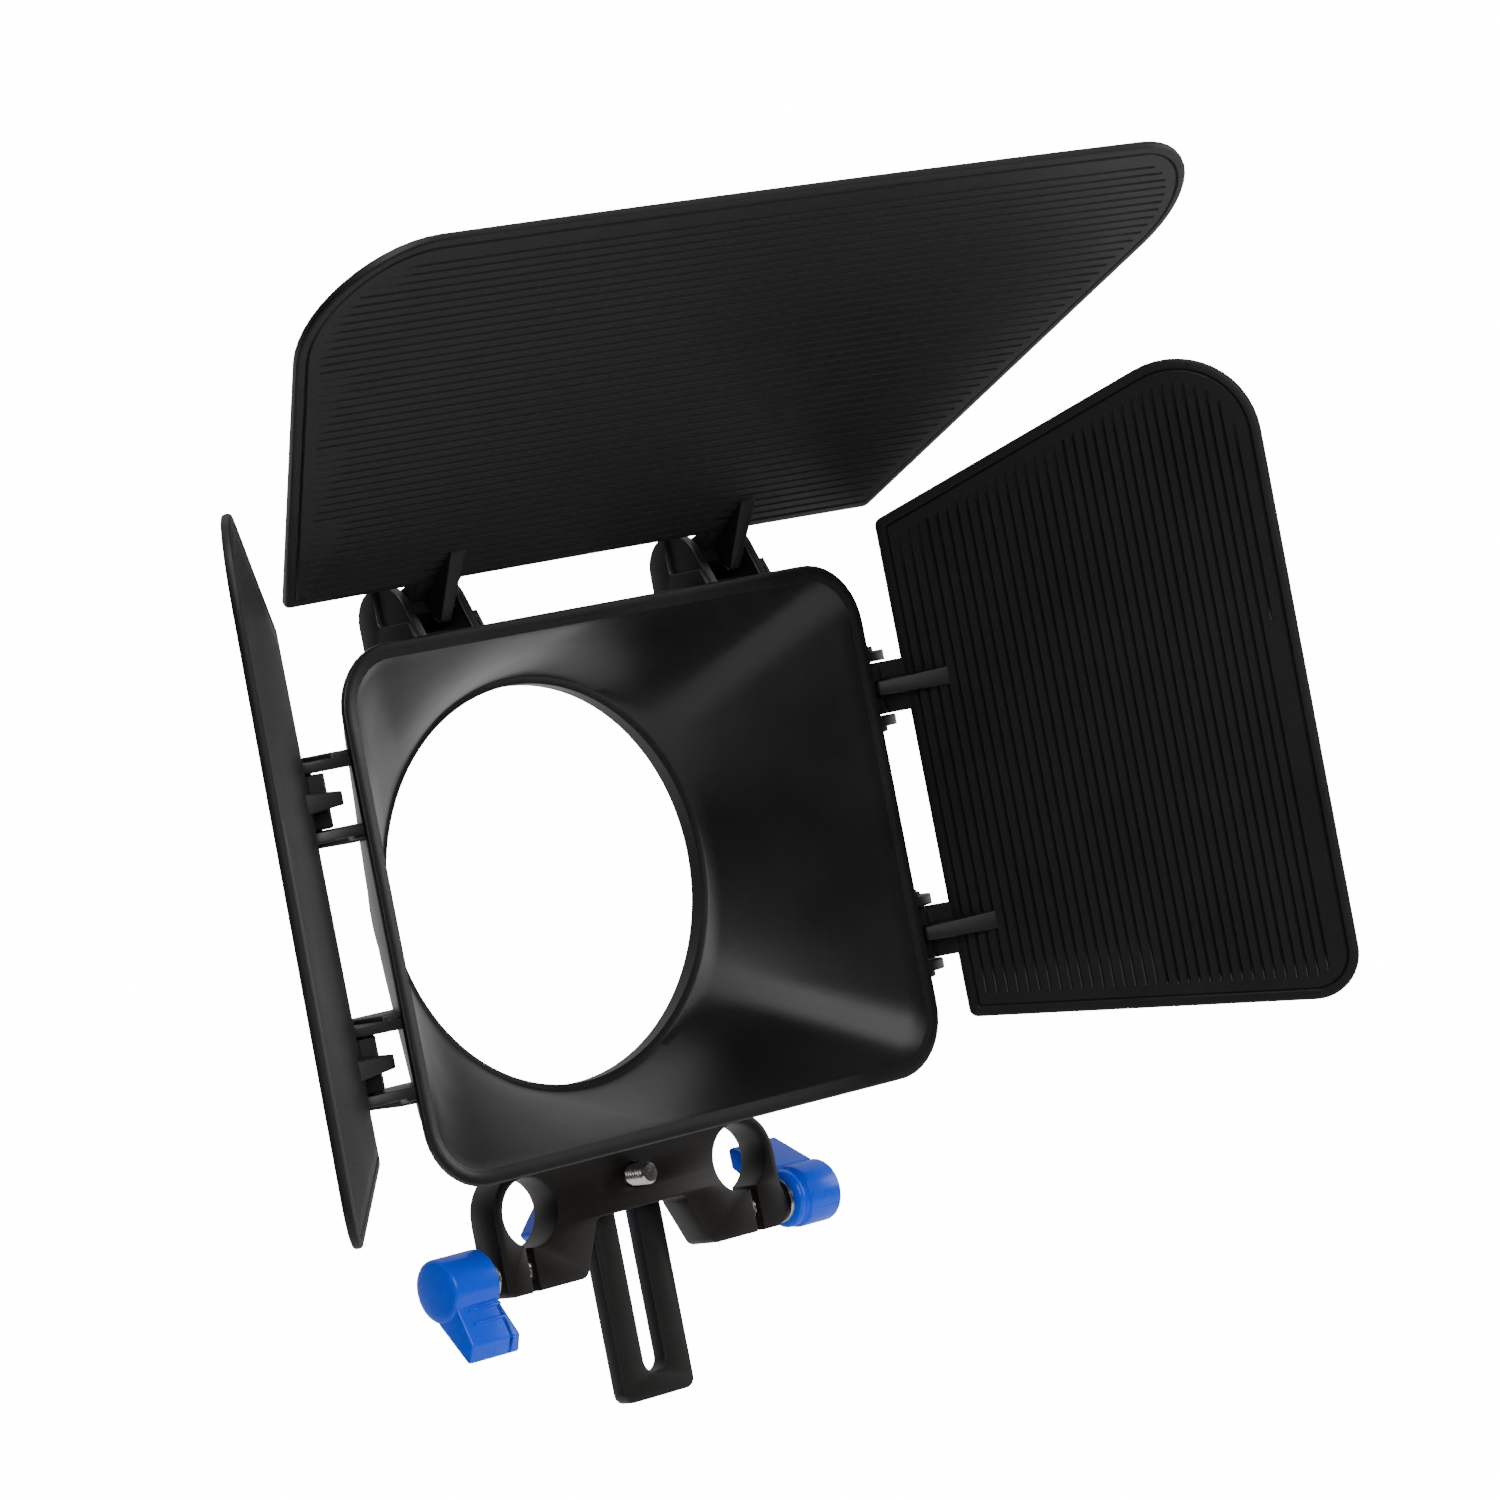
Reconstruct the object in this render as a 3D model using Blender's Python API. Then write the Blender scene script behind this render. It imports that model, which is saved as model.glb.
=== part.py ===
"""Matte box (lens hood) with three hinged barn-door flags on a twin 15 mm rod clamp.

Frame: metres, +Z up, +Y to the rear (towards the camera), +X to the right seen from the front.
Origin: midway between the two rod-bore axes, on the front face of the clamp block.
"""
import bpy
import bmesh
import math
from mathutils import Vector, Matrix
from mathutils.geometry import tessellate_polygon

for _o in list(bpy.data.objects):
    bpy.data.objects.remove(_o, do_unlink=True)

MM = 0.001

# rods and clamp block
ROD_PITCH = 60.0          # centre to centre of the two rods
ROD_BORE_R = 7.5          # 15 mm rods
BLOCK_T = 8.5             # front to back
LOBE_R = 9.9
BLOCK_HALF = 40.0
BLOCK_BOTTOM = -16.8
BLOCK_TOP = 9.9
SLIT_X = 32.2
SLIT_W = 1.9
CLAMP_Z = -11.8
CLAMP_Y = 4.2
BOSS_X = 41.3
SCREW_Z = 2.2             # height-lock screw
STUD_R = 2.45             # M5
STUD_HOLE_R = 2.8
THREAD_PITCH = 0.8
GROOVE_HALF = 10.35
GROOVE_Y = 5.2            # the groove's floor

# height plate
PLATE_HALF = 10.0
PLATE_Y0, PLATE_Y1 = 5.5, 9.5
PLATE_BOTTOM = -46.2
PLATE_TOP = 18.6
SLOT_HALF = 3.0
SLOT_BOTTOM = -40.8
SLOT_TOP = 5.2

# hood
RIM_W, RIM_H, RIM_R = 145.8, 114.2, 14.3
RIM_Z = 67.0
RIM_Y = -25.5             # the rim's front plane
RIM_T = 1.3               # the flange's thickness
BACK_IN = 1.6             # the funnel's outside behind the flange, set in from its edge
FUNNEL_END = 35.2         # where the funnel meets the ring
EAR_FOOT = 5.2
FACE_W = 3.5              # width of the rim's front face
PORT_R = 43.55
PORT_Z = 67.1
STEP_R = 45.05            # the funnel's inside at the step round the port
RING_R = 46.2
RING_Y = 14.1             # the ring's rear face
LUG_HALF = 9.8
LUG_Y0, LUG_Y1 = 9.8, 13.8
LUG_Z0, LUG_Z1 = 11.8, 22.8

# hinges
PIN_OUT = 4.4             # pin axis, outward of the rim's edge
PIN_Y = -14.0
PIN_R = 1.5
PIN_HOLE_R = 1.8
EAR_R = 7.7
EAR_Y, EAR_H = 11.3, 4.0      # centre of the ear's round: depth, and height above the rim's edge
EAR_IN = 6.05
EAR_SKIN = 8.45           # the ear's outer face in its front pocket; the pin hole ends 0.5 mm short of it
EAR_OUT = 9.55
PIN_HALF = 7.7
TOP_HINGE_X = 40.65
SIDE_HINGE_DZ = 27.5
ARM_HALF = 5.75
BARREL_R = 4.0
HINGE_V = 11.3            # pin to a side flag's hinge edge
TOP_HINGE_V = 11.6
TOP_ANGLE, RIGHT_ANGLE, LEFT_ANGLE = 34.2, 36.5, 41.2   # outward from straight forward

# knobs
HUB_R = 6.95
KNOB_L = 12.5
WASHER_R = 5.0


def material(name, color, rough, metal=0.0):
    m = bpy.data.materials.new(name)
    m.use_nodes = True
    b = m.node_tree.nodes["Principled BSDF"]
    b.inputs["Base Color"].default_value = (*color, 1.0)
    b.inputs["Roughness"].default_value = rough
    b.inputs["Metallic"].default_value = metal
    return m


def add(name, bm, origin=(0, 0, 0), mat=None, smooth=False):
    """Make the object from a bmesh in row millimetres, with its origin at `origin`."""
    o = Vector(origin)
    bmesh.ops.remove_doubles(bm, verts=bm.verts, dist=0.001)
    bmesh.ops.recalc_face_normals(bm, faces=bm.faces)
    for v in bm.verts:
        v.co = (v.co - o) * MM
    me = bpy.data.meshes.new(name)
    bm.to_mesh(me)
    bm.free()
    if smooth:
        for p in me.polygons:
            p.use_smooth = True
    ob = bpy.data.objects.new(name, me)
    bpy.context.scene.collection.objects.link(ob)
    ob.location = o * MM
    if mat:
        me.materials.append(mat)
    return ob


def prism(bm, loops, place, a, b):
    """Closed prism: loops[0] is the outline, the others are holes; place(u, v, t) maps to 3-D."""
    flat = [Vector((p[0], p[1], 0.0)) for lp in loops for p in lp]
    tris = tessellate_polygon([[Vector((p[0], p[1], 0.0)) for p in lp] for lp in loops])
    lo = [bm.verts.new(place(p.x, p.y, a)) for p in flat]
    hi = [bm.verts.new(place(p.x, p.y, b)) for p in flat]
    for i, j, k in tris:
        p, q, r = flat[i], flat[j], flat[k]
        if abs((q - p).cross(r - p).z) < 1e-9:
            continue
        bm.faces.new((lo[i], lo[j], lo[k]))
        bm.faces.new((hi[k], hi[j], hi[i]))
    base = 0
    for lp in loops:
        n = len(lp)
        for i in range(n):
            j = (i + 1) % n
            bm.faces.new((lo[base + i], lo[base + j], hi[base + j], hi[base + i]))
        base += n


def arc(cx, cy, r, a0, a1, n):
    return [(cx + r * math.cos(math.radians(a0 + (a1 - a0) * i / n)),
             cy + r * math.sin(math.radians(a0 + (a1 - a0) * i / n))) for i in range(n + 1)]


def circle(cx, cy, r, n):
    return [(cx + r * math.cos(2 * math.pi * i / n), cy + r * math.sin(2 * math.pi * i / n)) for i in range(n)]


def rounded(points, radii, n=6):
    """Polygon with each corner replaced by an arc of its radius."""
    out = []
    m = len(points)
    for i in range(m):
        p = Vector(points[i])
        a = (Vector(points[i - 1]) - p)
        b = (Vector(points[(i + 1) % m]) - p)
        r = radii[i]
        if r <= 0:
            out.append((p.x, p.y))
            continue
        a.normalize()
        b.normalize()
        half = math.acos(max(-1.0, min(1.0, a.dot(b)))) / 2
        t = r / math.tan(half)
        c = p + (a + b).normalized() * (r / math.sin(half))
        s, e = p + a * t - c, p + b * t - c
        a0, a1 = math.atan2(s.y, s.x), math.atan2(e.y, e.x)
        d = (a1 - a0 + math.pi) % (2 * math.pi) - math.pi
        out += [(c.x + r * math.cos(a0 + d * k / n), c.y + r * math.sin(a0 + d * k / n)) for k in range(n + 1)]
    return out


def boolean(ob, bm_cutter, op):
    """Apply one exact Boolean with a bmesh in row millimetres, and drop the cutter."""
    cutter = add("cutter", bm_cutter)
    cutter.hide_render = True
    cutter.display_type = "WIRE"
    m = ob.modifiers.new("bool", "BOOLEAN")
    m.operation = op
    m.solver = "EXACT"
    m.object = cutter
    bpy.context.view_layer.update()
    dg = bpy.context.evaluated_depsgraph_get()
    me = bpy.data.meshes.new_from_object(ob.evaluated_get(dg))
    ob.modifiers.clear()
    old = ob.data
    ob.data = me
    me.name = ob.name
    bpy.data.meshes.remove(old)
    cm = cutter.data
    bpy.data.objects.remove(cutter, do_unlink=True)
    bpy.data.meshes.remove(cm)


def xz(u, v, t):
    return Vector((u, t, v))


def yz(u, v, t):
    return Vector((t, u, v))


black_hood = material("hood_black", (0.030, 0.031, 0.033), 0.5)
BLACK_ALU = (0.045, 0.042, 0.040)
BLUE = (0.010, 0.090, 0.620)
STEEL = (0.62, 0.62, 0.63)

# ------------------------------------------------------------------ clamp block
right = ([(11.4, -4.85), (12.6, -5.4), (13.2, -6.6)]
         + rounded([(13.2, -6.6), (17.95, BLOCK_BOTTOM), (30.0, BLOCK_BOTTOM)], [0, 2.3, 0], 5)[1:-1])
left = [(-x, z) for x, z in reversed(right)]
h = SLIT_W / 2
dz = math.sqrt(ROD_BORE_R ** 2 - (SLIT_X - ROD_PITCH / 2 + h) ** 2)
dz2 = math.sqrt(ROD_BORE_R ** 2 - (SLIT_X - ROD_PITCH / 2 - h) ** 2)
a_out = math.degrees(math.atan2(-dz, SLIT_X - ROD_PITCH / 2 + h))
a_in = math.degrees(math.atan2(-dz2, SLIT_X - ROD_PITCH / 2 - h))
# the slit opens each bore to the underside, so bore and outline are one loop
bore = arc(ROD_PITCH / 2, 0, ROD_BORE_R, a_in, a_out - 360, 40)
right_side = ([(SLIT_X - h, BLOCK_BOTTOM)] + bore + [(SLIT_X + h, BLOCK_BOTTOM)]
              + [(37.6, BLOCK_BOTTOM)] + arc(BOSS_X - 4.2, -12.4, 4.2, -78, 30, 8)
              + [(BLOCK_HALF, -8.2), (BLOCK_HALF, -1.0)] + arc(ROD_PITCH / 2, 0, LOBE_R, 0, 90, 10)[1:])
left_bore = [(-x, z) for x, z in reversed(bore)]
left_side = ([(-x, z) for x, z in reversed(arc(ROD_PITCH / 2, 0, LOBE_R, 0, 90, 10)[1:])]
             + [(-BLOCK_HALF, -1.0), (-BLOCK_HALF, BLOCK_BOTTOM + 1.6), (-BLOCK_HALF + 1.6, BLOCK_BOTTOM)]
             + [(-(SLIT_X + h), BLOCK_BOTTOM)] + left_bore + [(-(SLIT_X - h), BLOCK_BOTTOM)])
outline = left + right + right_side + left_side
bm = bmesh.new()
prism(bm, [outline, circle(0, SCREW_Z, STUD_HOLE_R, 20)], xz, 0.0, BLOCK_T)
block = add("clamp_block", bm, mat=material("clamp_block", BLACK_ALU, 0.4, 0.9))
# cross holes for the clamp screws, and the groove that guides the height plate
bm = bmesh.new()
prism(bm, [circle(CLAMP_Y, CLAMP_Z, STUD_HOLE_R, 20)], yz, 21.5, 45.0)
prism(bm, [circle(CLAMP_Y, CLAMP_Z, STUD_HOLE_R, 20)], yz, -45.0, -21.5)
prism(bm, [[(-GROOVE_HALF, GROOVE_Y), (GROOVE_HALF, GROOVE_Y), (GROOVE_HALF, 12.0), (-GROOVE_HALF, 12.0)]],
      lambda u, v, t: Vector((u, v, t)), -30.0, 20.0)
boolean(block, bm, "DIFFERENCE")

# ------------------------------------------------------------------ height plate
outline = rounded([(-PLATE_HALF, PLATE_BOTTOM), (PLATE_HALF, PLATE_BOTTOM), (PLATE_HALF, PLATE_TOP),
                   (-PLATE_HALF, PLATE_TOP)], [2.2, 2.2, 1.5, 1.5], 5)
slot = arc(0, SLOT_TOP - SLOT_HALF, SLOT_HALF, 0, 180, 10) + arc(0, SLOT_BOTTOM + SLOT_HALF, SLOT_HALF, 180, 360, 10)
BOLT_X, BOLT_Z = 6.0, 14.6
holes = [circle(sx * BOLT_X, BOLT_Z, 1.8, 16) for sx in (-1, 1)]
bm = bmesh.new()
prism(bm, [outline, slot] + holes, xz, PLATE_Y0, PLATE_Y1)
add("height_plate", bm, mat=material("height_plate", BLACK_ALU, 0.38, 0.9))

# ------------------------------------------------------------------ hood
QUAD = [0, 9, 18, 26, 31.5, 33.5, 35.2, 36.9, 38.6, 40.3, 42.4, 47, 56, 67, 78]
ANGLES = QUAD + [180 - a for a in reversed(QUAD[1:])] + [180] + [180 + a for a in QUAD[1:]] + [360 - a for a in reversed(QUAD[1:])]
ANGLES = sorted(set([round(a, 4) for a in ANGLES] + [90.0, 270.0]))


def ray_rect(a, b, r, deg):
    """Where a ray from the centre meets a rounded rectangle of half sizes a, b."""
    c, s = math.cos(math.radians(deg)), math.sin(math.radians(deg))
    ac, as_ = abs(c), abs(s)
    t = min(a / ac if ac > 1e-9 else 1e9, b / as_ if as_ > 1e-9 else 1e9)
    x, y = t * ac, t * as_
    if x > a - r and y > b - r:
        cx, cy = a - r, b - r
        p = ac * cx + as_ * cy
        q = cx * cx + cy * cy - r * r
        t = p + math.sqrt(max(0.0, p * p - q))
        x, y = t * ac, t * as_
    return (math.copysign(x, c), math.copysign(y, s))


def loop_rect(a, b, r, y):
    return [Vector((p[0], y, RIM_Z + p[1])) for p in (ray_rect(a, b, r, d) for d in ANGLES)]


def loop_circle(r, y):
    return [Vector((r * math.cos(math.radians(d)), y, PORT_Z + r * math.sin(math.radians(d)))) for d in ANGLES]


def mix(l0, l1, s):
    return [p.lerp(q, s) for p, q in zip(l0, l1)]


W2, H2 = RIM_W / 2, RIM_H / 2
in_front = loop_rect(W2 - FACE_W, H2 - FACE_W, RIM_R - FACE_W, RIM_Y)
in_back = loop_circle(STEP_R, RIM_Y + FUNNEL_END)

out_front = loop_rect(W2 - BACK_IN, H2 - BACK_IN, RIM_R - BACK_IN, RIM_Y + RIM_T)
out_back = loop_circle(RING_R, RIM_Y + FUNNEL_END)


def shell(s):
    """The funnel's outside, a convex change from the rim's outline (0) to the ring's (1)."""
    q = s - 0.52 * s * (1.0 - s)
    out = mix(out_front, out_back, q)
    for p in out:
        p.y = RIM_Y + RIM_T + (FUNNEL_END - RIM_T) * s
    return out


profile = ([in_front, mix(in_front, in_back, 0.34), mix(in_front, in_back, 0.67), in_back,
            loop_circle(PORT_R, RIM_Y + FUNNEL_END + 0.4), loop_circle(PORT_R, RING_Y), loop_circle(RING_R, RING_Y),
            out_back] + [shell(k / 6.0) for k in (5, 4, 3, 2, 1)] + [out_front,
            loop_rect(W2, H2, RIM_R, RIM_Y + RIM_T), loop_rect(W2, H2, RIM_R, RIM_Y)])
bm = bmesh.new()
rows = [[bm.verts.new(p) for p in lp] for lp in profile]
for i in range(len(rows)):
    r0, r1 = rows[i], rows[(i + 1) % len(rows)]
    for j in range(len(r0)):
        k = (j + 1) % len(r0)
        bm.faces.new((r0[j], r0[k], r1[k], r1[j]))
bmesh.ops.triangulate(bm, faces=bm.faces)
hood = add("hood", bm, mat=black_hood)


def outside(depth, c, along, out, t):
    """Height of the funnel's outside above the rim's edge line, at a depth and a distance t along the pin."""
    loop = shell((depth - RIM_T) / (FUNNEL_END - RIM_T))
    edge = (c - out * PIN_OUT).dot(out)
    at = c.dot(along) + t
    best = -1e9
    for p, q in zip(loop, loop[1:] + loop[:1]):
        u, v = p.dot(along), q.dot(along)
        if (u - at) * (v - at) <= 0 and abs(u - v) > 1e-9:
            w = p.lerp(q, (at - u) / (v - u)).dot(out)
            best = max(best, w - edge)
    return best


def ear_profile(bottom, pocket=False):
    """Hinge ear seen along its pin: (depth behind the rim's front, height above the rim's edge).
    bottom: heights of the ear's foot inside the wall at three depths; pocket: leave out the part in front of the pin."""
    cy, ch = EAR_Y, EAR_H
    foot = Vector((1.0, 0.0))
    d = Vector((cy, ch)) - foot
    dist = d.length
    base = math.atan2(d.y, d.x)
    off = math.asin(EAR_R / dist)
    tan = math.sqrt(dist ** 2 - EAR_R ** 2)
    t = foot + Vector((math.cos(base + off), math.sin(base + off))) * tan
    a0 = math.degrees(math.atan2(t.y - ch, t.x - cy))
    rear = cy + EAR_R
    pts = [(foot.x, -2.1), (foot.x, 0.0)]
    if pocket:
        sx, sh = 12.5, 3.4
        pts += [(foot.x + (t.x - foot.x) * sh / t.y, sh), (sx, sh)]
        pts += arc(cy, ch, EAR_R, math.degrees(math.acos((sx - cy) / EAR_R)), 0.0, 10)
    else:
        pts += arc(cy, ch, EAR_R, a0, 0.0, 14)
    mid = (EAR_FOOT + rear) / 2
    return pts + [(rear, bottom[2]), (mid, bottom[1]), (EAR_FOOT, bottom[0]), (2.2, bottom[0])]


HINGES = []   # name, point on the pin at the hinge's centre, unit vector along the pin, outward direction
for nm, x in (("top_left", -TOP_HINGE_X), ("top_right", TOP_HINGE_X)):
    HINGES.append((nm, Vector((x, PIN_Y, RIM_Z + H2 + PIN_OUT)), Vector((1, 0, 0)), Vector((0, 0, 1))))
for side, sx in (("right", 1), ("left", -1)):
    for nm, dz_ in (("upper", SIDE_HINGE_DZ), ("lower", -SIDE_HINGE_DZ)):
        HINGES.append((side + "_" + nm, Vector((sx * (W2 + PIN_OUT), PIN_Y, RIM_Z + dz_)), Vector((0, 0, 1)),
                       Vector((sx, 0, 0))))

# each ear is built up in three layers: bored, skin over the bore's end, and a thick rear part
for layer in ("bored", "skin", "thick"):
    bm = bmesh.new()
    for nm, c, along, out in HINGES:
        base = c - out * PIN_OUT
        for s in (-1, 1):
            def place(u, v, t, base=base, along=along, out=out):
                return Vector((0, u + RIM_Y, 0)) + Vector((base.x, 0, base.z)) + out * v + along * t
            rear = EAR_Y + EAR_R
            bottom = [min(outside(e, c, along, out, s * EAR_IN), outside(e, c, along, out, s * EAR_OUT)) - 0.35
                      for e in (EAR_FOOT, (EAR_FOOT + rear) / 2, rear)]
            if layer == "bored":
                loops = [ear_profile(bottom), circle(PIN_Y - RIM_Y, PIN_OUT, PIN_HOLE_R, 16)]
                t0, t1 = EAR_IN, EAR_SKIN - 0.45
            elif layer == "skin":
                loops = [ear_profile(bottom)]
                t0, t1 = EAR_SKIN - 0.5, EAR_SKIN
            else:
                loops = [ear_profile(bottom, True)]
                t0, t1 = EAR_SKIN - 0.05, EAR_OUT
            prism(bm, loops, place, min(s * t0, s * t1), max(s * t0, s * t1))
    boolean(hood, bm, "UNION")
# lug under the ring, which carries the height plate
bm = bmesh.new()
prism(bm, [[(-LUG_HALF, LUG_Z0), (LUG_HALF, LUG_Z0), (LUG_HALF, LUG_Z1), (-LUG_HALF, LUG_Z1)]]
      + [circle(sx * BOLT_X, BOLT_Z, 1.8, 16) for sx in (-1, 1)], xz, LUG_Y0, LUG_Y1)
boolean(hood, bm, "UNION")

# ------------------------------------------------------------------ hinge pins
for nm, c, along, out in HINGES:
    bm = bmesh.new()
    if along.x > 0.5:
        prism(bm, [circle(c.y, c.z, PIN_R, 16)], yz, c.x - PIN_HALF, c.x + PIN_HALF)
    else:
        prism(bm, [circle(c.x, c.y, PIN_R, 16)], lambda u, v, t: Vector((u, v, t)), c.z - PIN_HALF, c.z + PIN_HALF)
    add(nm + "_hinge_pin", bm, tuple(c), material(nm + "_hinge_pin", STEEL, 0.3, 1.0))

# ------------------------------------------------------------------ flags
BLADE = [(21.5, 0.4), (21.5, 1.0), (6.4, 7.6), (5.2, 3.6), (6.2, 0.4)]


def arm(edge):
    """Barrel and arm seen along the pin; edge: distance from the pin to the flag's hinge edge."""
    return ([(0.0, BARREL_R)] + arc(0, 0, BARREL_R, 90, 270, 12)[1:] + [(5.0, -3.2), (edge + 1.2, -0.95), (edge + 1.2, 0.95),
            (6.5, 1.0), (6.5, 4.0)])


def flag(name, centre, along, out, angle, edge, outline, radii, hinges, rough):
    """A barn-door flag. outline: (distance past the hinge edge, coordinate along the pin from `centre`)."""
    a = math.radians(angle)
    d = Vector((0, -1, 0)) * math.cos(a) + out * math.sin(a)      # away from the hinge
    n = Vector((0, -1, 0)) * math.sin(a) - out * math.cos(a)      # towards the light path

    def face(u, v, t):
        return centre + d * (u + edge) + along * v + n * t

    bm = bmesh.new()
    prism(bm, [rounded(outline, radii)], face, -1.0, 1.0)
    ob = add(name, bm, tuple(centre), material(name, (0.016, 0.016, 0.017), rough))
    bm = bmesh.new()
    for s in hinges:
        def side(u, v, t, s=s):
            return centre + d * u + n * v + along * (s + t)
        prism(bm, [arm(edge), circle(0, 0, PIN_HOLE_R, 16)], side, -ARM_HALF, ARM_HALF)
    boolean(ob, bm, "UNION")
    bm = bmesh.new()
    for s in hinges:
        def side(u, v, t, s=s):
            return centre + d * u + n * v + along * (s + t)
        prism(bm, [BLADE], side, -1.8, 1.8)
    boolean(ob, bm, "UNION")
    return ob


flag("top_flag", Vector((0, PIN_Y, RIM_Z + H2 + PIN_OUT)), Vector((1, 0, 0)), Vector((0, 0, 1)), TOP_ANGLE, TOP_HINGE_V,
     [(0, -81.5), (110.8, -131.7), (110.8, 131.7), (0, 81.5)], [2.0, 23.0, 23.0, 2.0], (-TOP_HINGE_X, TOP_HINGE_X), 0.55)
side_outline = [(0, 131.0 - RIM_Z), (0, 19.3 - RIM_Z), (87.5, 8.1 - RIM_Z), (88.4, 160.8 - RIM_Z)]
for nm, sx, ang in (("right_flag", 1, RIGHT_ANGLE), ("left_flag", -1, LEFT_ANGLE)):
    flag(nm, Vector((sx * (W2 + PIN_OUT), PIN_Y, RIM_Z)), Vector((0, 0, 1)), Vector((sx, 0, 0)), ang, HINGE_V,
         side_outline, [2.0, 2.0, 10.0, 19.0], (-SIDE_HINGE_DZ, SIDE_HINGE_DZ), 0.55)

# ------------------------------------------------------------------ plate screws
for nm, sx in (("left", -1), ("right", 1)):
    bm = bmesh.new()
    pts = [(0.0, 3.0), (2.6, 3.0), (2.9, 3.3), (2.9, 5.2), (1.5, 5.2), (1.5, 13.6), (0.0, 13.6)]
    n = 20
    rings = [[bm.verts.new((sx * BOLT_X + r * math.cos(2 * math.pi * i / n), y, BOLT_Z + r * math.sin(2 * math.pi * i / n)))
              for i in range(n)] for r, y in pts[1:-1]]
    for r0, r1 in zip(rings, rings[1:]):
        for i in range(n):
            j = (i + 1) % n
            bm.faces.new((r0[i], r0[j], r1[j], r1[i]))
    bm.faces.new(rings[0])
    bm.faces.new(rings[-1])
    add(nm + "_plate_screw", bm, (sx * BOLT_X, PLATE_Y0, BOLT_Z), material(nm + "_plate_screw", STEEL, 0.3, 1.0))


# ------------------------------------------------------------------ knobs, studs, washers
def turned(bm, pts, axis, up, origin, n=32):
    """Turned solid: pts are (radius, distance along axis), open ends closed by flat caps."""
    w = axis.cross(up)
    rings = [[bm.verts.new(origin + axis * t + (up * math.cos(2 * math.pi * i / n) + w * math.sin(2 * math.pi * i / n)) * r)
              for i in range(n)] for r, t in pts]
    for r0, r1 in zip(rings, rings[1:]):
        for i in range(n):
            j = (i + 1) % n
            bm.faces.new((r0[i], r0[j], r1[j], r1[i]))
    bm.faces.new(rings[0])
    bm.faces.new(rings[-1])


def clip_tip(poly, radii, u0):
    """The part of a wing's outline beyond u0, with its corner radii."""
    out, rad = [], []
    n = len(poly)
    for i in range(n):
        p, q = poly[i], poly[(i + 1) % n]
        if p[0] >= u0:
            out.append(p)
            rad.append(radii[i])
        if (p[0] - u0) * (q[0] - u0) < 0:
            k = (u0 - p[0]) / (q[0] - p[0])
            out.append((u0, p[1] + (q[1] - p[1]) * k))
            rad.append(0)
    return out, rad


def knob_set(name, origin, axis, wing_dir, wing, radii, flare, washer0, washer1, face, stud_far, stud_name):
    """origin: the screw axis where the body's seat is (distance 0); axis: outward along the screw.
    wing: the wing's outline, (along wing_dir, sideways); flare: how far its tip reaches past the knob's inner face;
    washer0, washer1: the washer's two faces; face: the knob's inner face; stud_far: the stud's far end."""
    up = wing_dir.normalized()
    side = axis.cross(up)
    bm = bmesh.new()
    turned(bm, [(HUB_R - 0.35, face), (HUB_R, face + 0.4), (HUB_R, face + KNOB_L - 0.9), (HUB_R - 0.5, face + KNOB_L - 0.2),
                (4.0, face + KNOB_L)],
           axis, up, origin)
    ob = add(name, bm, tuple(origin), material(name, BLUE, 0.18))
    bm = bmesh.new()

    def place(u, v, t):
        return origin + up * u + side * v + axis * t
    prism(bm, [rounded(wing, radii, 3)], place, face + 0.2, face + KNOB_L - 0.8)
    boolean(ob, bm, "UNION")
    if flare:
        bm = bmesh.new()
        tip, tip_radii = clip_tip(wing, radii, 7.4)
        mid = Vector((sum(p[0] for p in tip) / len(tip), sum(p[1] for p in tip) / len(tip)))
        tip = [tuple(mid + (Vector(p) - mid) * 0.985) for p in tip]      # a hair inside the wing's sides

        def slope(u, v, t):
            if t < face + 1.0:
                t -= flare * (u - 7.4) / 9.1
            return origin + up * u + side * v + axis * t
        prism(bm, [rounded(tip, tip_radii, 3)], slope, face + 0.15, face + 1.4)
        boolean(ob, bm, "UNION")
    bm = bmesh.new()
    turned(bm, [(STUD_HOLE_R, face - 1.0), (STUD_HOLE_R, face + 9.0)], axis, up, origin, 16)
    boolean(ob, bm, "DIFFERENCE")
    bm = bmesh.new()
    turned(bm, [(1.9, stud_far), (STUD_R, stud_far + 0.6), (STUD_R, face + 8.6)], axis, up, origin, 16)
    add(stud_name, bm, tuple(origin), material(stud_name, STEEL, 0.25, 1.0))
    bm = bmesh.new()

    def place2(u, v, t):
        return origin + up * u + side * v + axis * t
    prism(bm, [circle(0, 0, WASHER_R, 28), circle(0, 0, STUD_HOLE_R, 20)], place2, washer0, washer1)
    add(name + "_washer", bm, tuple(origin), material(name + "_washer", STEEL, 0.25, 1.0))


# the wings of the clamp knobs are offset from the screw axis, taper to the tip and flare towards the block
WING = [(1.5, 3.5), (14.6, -1.2), (16.5, -5.8), (4.4, -5.9), (1.5, -5.0)]
knob_set("left_clamp_knob", Vector((-BLOCK_HALF, CLAMP_Y, CLAMP_Z)), Vector((-1, 0, 0)), Vector((0, -0.637, -0.771)),
         WING, [0, 0.9, 0.9, 0.8, 0], 2.1, 1.9, 3.4, 3.7, -17.0, "left_clamp_stud")
knob_set("right_clamp_knob", Vector((BOSS_X, CLAMP_Y, CLAMP_Z)), Vector((1, 0, 0)), Vector((0, 0.88, 0.47)),
         [(u + (0.6 if u > 10 else 0.0), -v) for u, v in reversed(WING)], [0, 0.8, 0.9, 0.9, 0], 2.0, 0.3, 1.3, 1.6, -18.3,
         "right_clamp_stud")
knob_set("height_lock_knob", Vector((0, PLATE_Y1, SCREW_Z)), Vector((0, 1, 0)), Vector((-0.766, 0, -0.643)),
         [(1.5, -3.6), (16.8, -2.2), (16.8, 2.2), (1.5, 3.6)], [0, 0.9, 0.9, 0], 0.0, 0.3, 1.9, 4.6, -14.8, "height_lock_stud")
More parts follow.
